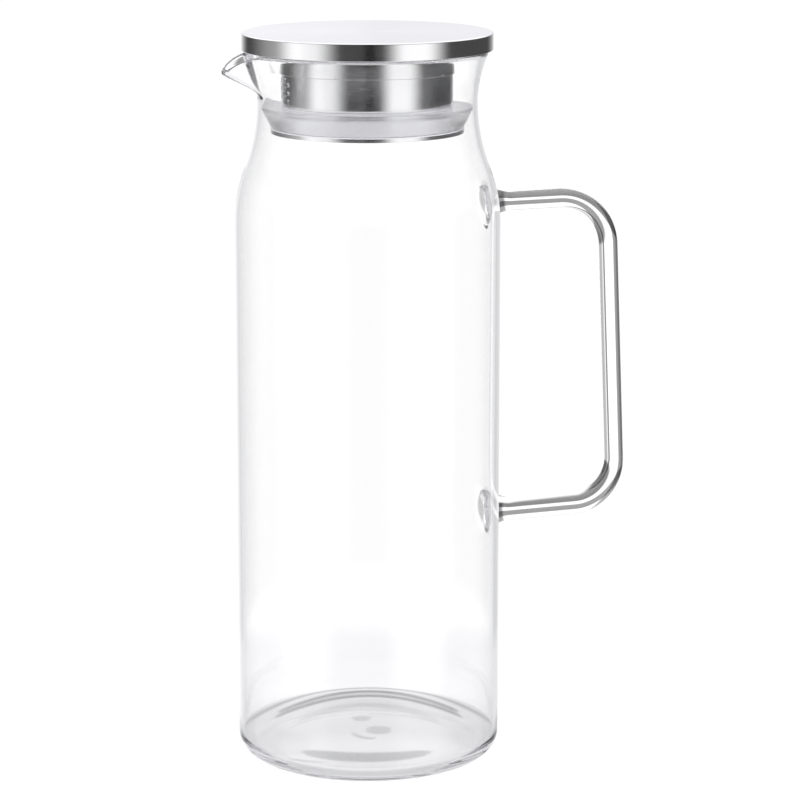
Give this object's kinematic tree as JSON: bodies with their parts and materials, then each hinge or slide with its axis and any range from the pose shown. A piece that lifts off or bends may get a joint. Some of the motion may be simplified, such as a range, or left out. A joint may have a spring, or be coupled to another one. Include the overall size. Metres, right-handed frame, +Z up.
{
  "type": "lidded glass pitcher",
  "caption": "Tall straight-walled clear glass jug with a pulled pouring lip and bent glass rod handle, closed by a flat steel lid with a strainer drum and a silicone seal.",
  "frame": {"origin": "centre of the foot of the jug, on the surface it stands on", "axes": "+Z up along the jug's axis, +X towards the handle, -X towards the pouring lip"},
  "size_m": [0.1631, 0.1, 0.2772],
  "materials": {
    "clear_glass": "fire polished, colourless",
    "brushed_steel": "satin, brushed round the axis",
    "silicone": "matte, milky translucent"
  },
  "bodies": {
    "pitcher": {"glass_body": "clear_glass", "handle": "clear_glass"},
    "seal": {"seal_ring": "silicone"},
    "lid": {"lid_cover": "brushed_steel", "underplate": "brushed_steel", "drum_collar": "brushed_steel", "strainer_drum": "brushed_steel", "base_ring": "brushed_steel"}
  },
  "joints": [
    {"name": "lid_lift", "type": "slide", "parent": "pitcher", "child": "seal", "axis": [0, 0, 1], "range_m": [0, 0.06]},
    {"name": "lid_turn", "type": "hinge", "parent": "seal", "child": "lid", "pos_m": [0, 0, 0.25], "axis": [0, 0, 1], "continuous": true}
  ]
}
